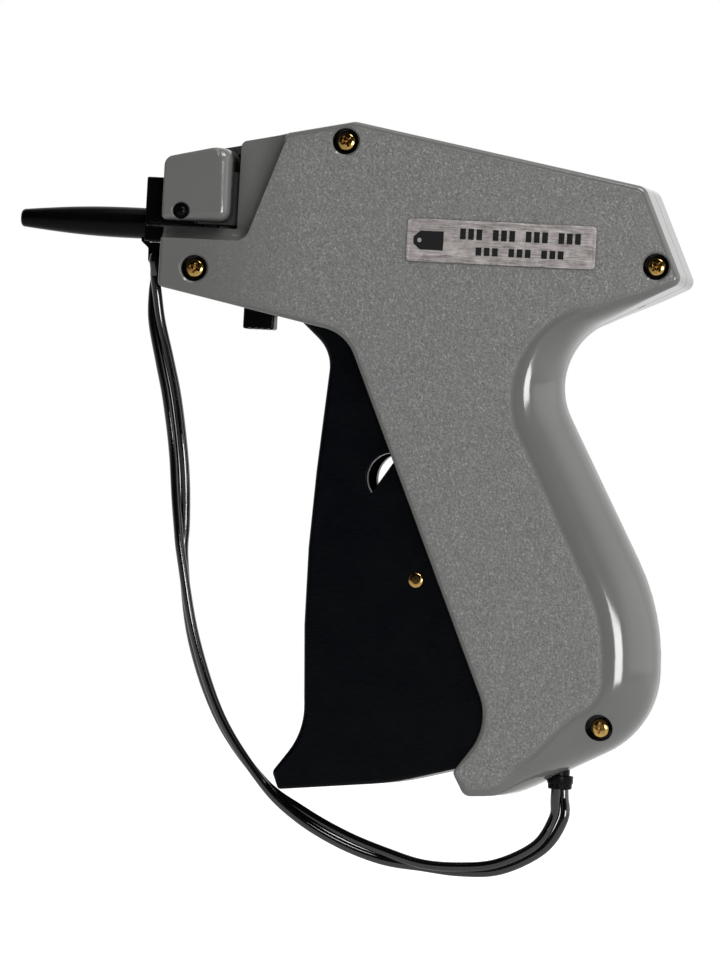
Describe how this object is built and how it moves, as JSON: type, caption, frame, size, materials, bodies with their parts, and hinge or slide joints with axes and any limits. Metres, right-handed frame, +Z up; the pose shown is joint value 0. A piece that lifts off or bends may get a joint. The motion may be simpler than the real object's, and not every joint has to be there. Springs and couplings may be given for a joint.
{
  "type": "tag attaching gun",
  "caption": "Handheld gun that pushes plastic tag fasteners through a hollow needle: pistol grip, long trigger, capped needle and a cord that keeps the cap.",
  "frame": {"origin": "on the needle's axis at the front of the nose, in the parting plane of the two shells", "axes": "the needle points along -X, the shells part on Y = 0 with the label side at -Y, +Z is up"},
  "size_m": [0.1569, 0.0242, 0.1718],
  "materials": {
    "shell": "moulded, spark-eroded texture on the flat sides",
    "black_gloss": "smooth moulded black",
    "trigger": "fine satin black",
    "inner_plastic": "plain moulded acetal",
    "pale_plastic": "natural acetal",
    "foil": "brushed foil with a printed pictogram",
    "brass": "plated, lightly worn",
    "steel": "ground",
    "pressed_steel": "pressed sheet",
    "rubber": "soft",
    "cord": "glossy cord"
  },
  "bodies": {
    "housing": {"left_housing": "shell", "right_housing": "shell", "label_plate": "foil", "housing_screws": "brass", "feed_cover": "shell", "feed_cover_pin": "black_gloss", "needle_holder": "black_gloss", "needle": "steel", "cap_cord": "cord", "cord_ferrule": "black_gloss", "trigger_pivot_pins": "steel", "lever_pin": "steel", "lever_bracket": "pressed_steel", "bracket_screw": "steel", "guide_rod": "steel", "return_spring": "steel", "carriage_bumper": "rubber", "feed_guide": "inner_plastic", "feed_wheel_axle": "steel", "pawl_pin": "steel", "pawl_spring": "steel"},
    "trigger": {"trigger": "trigger", "trigger_pin": "brass"},
    "lever": {"drive_lever": "pressed_steel", "lever_bushing": "brass", "drive_pin": "steel"},
    "plunger": {"plunger_carriage": "inner_plastic", "plunger_rod": "steel"},
    "wheel": {"feed_wheel": "pale_plastic"},
    "index": {"index_bar": "pale_plastic"},
    "button": {"release_button": "black_gloss"},
    "pawl": {"holding_pawl": "pale_plastic"},
    "cap": {"needle_cap": "black_gloss"}
  },
  "joints": [
    {"name": "trigger_pull", "type": "hinge", "parent": "housing", "child": "trigger", "pos_m": [0.0495, 0, -0.014], "axis": [0, -1, 0], "range_deg": [0, 15.5]},
    {"name": "lever_swing", "type": "hinge", "parent": "housing", "child": "lever", "pos_m": [0.076, 0, -0.0585], "axis": [0, -1, 0], "range_deg": [0, 52]},
    {"name": "plunger_slide", "type": "slide", "parent": "housing", "child": "plunger", "axis": [-1, 0, 0], "range_m": [0, 0.0473], "deforming": ["return_spring"]},
    {"name": "wheel_index", "type": "hinge", "parent": "housing", "child": "wheel", "pos_m": [0.0146, 0.0052, 0.0034], "axis": [1, 0, 0], "range_deg": [0, 45.2]},
    {"name": "index_slide", "type": "slide", "parent": "housing", "child": "index", "axis": [-1, 0, 0], "range_m": [0, 0.0029]},
    {"name": "release_press", "type": "slide", "parent": "housing", "child": "button", "axis": [0, 0, 1], "range_m": [0, 0.0012], "deforming": ["pawl_spring"]},
    {"name": "pawl_lift", "type": "hinge", "parent": "housing", "child": "pawl", "pos_m": [0.021, 0.0055, -0.0052], "axis": [-1, 0, 0], "range_deg": [0, 13.6]},
    {"name": "cap_pull", "type": "slide", "parent": "housing", "child": "cap", "axis": [-1, 0, 0], "range_m": [0, 0.034], "deforming": ["cap_cord"]}
  ],
  "couplings": [
    {"joint": "lever_swing", "follows": "trigger_pull", "ratio": 3.3394},
    {"joint": "plunger_slide", "follows": "trigger_pull", "m_per_rad": 0.17426},
    {"joint": "wheel_index", "follows": "trigger_pull", "ratio": 2.9032},
    {"joint": "index_slide", "follows": "trigger_pull", "m_per_rad": 0.01035},
    {"joint": "pawl_lift", "follows": "release_press", "rad_per_m": 196.35}
  ]
}
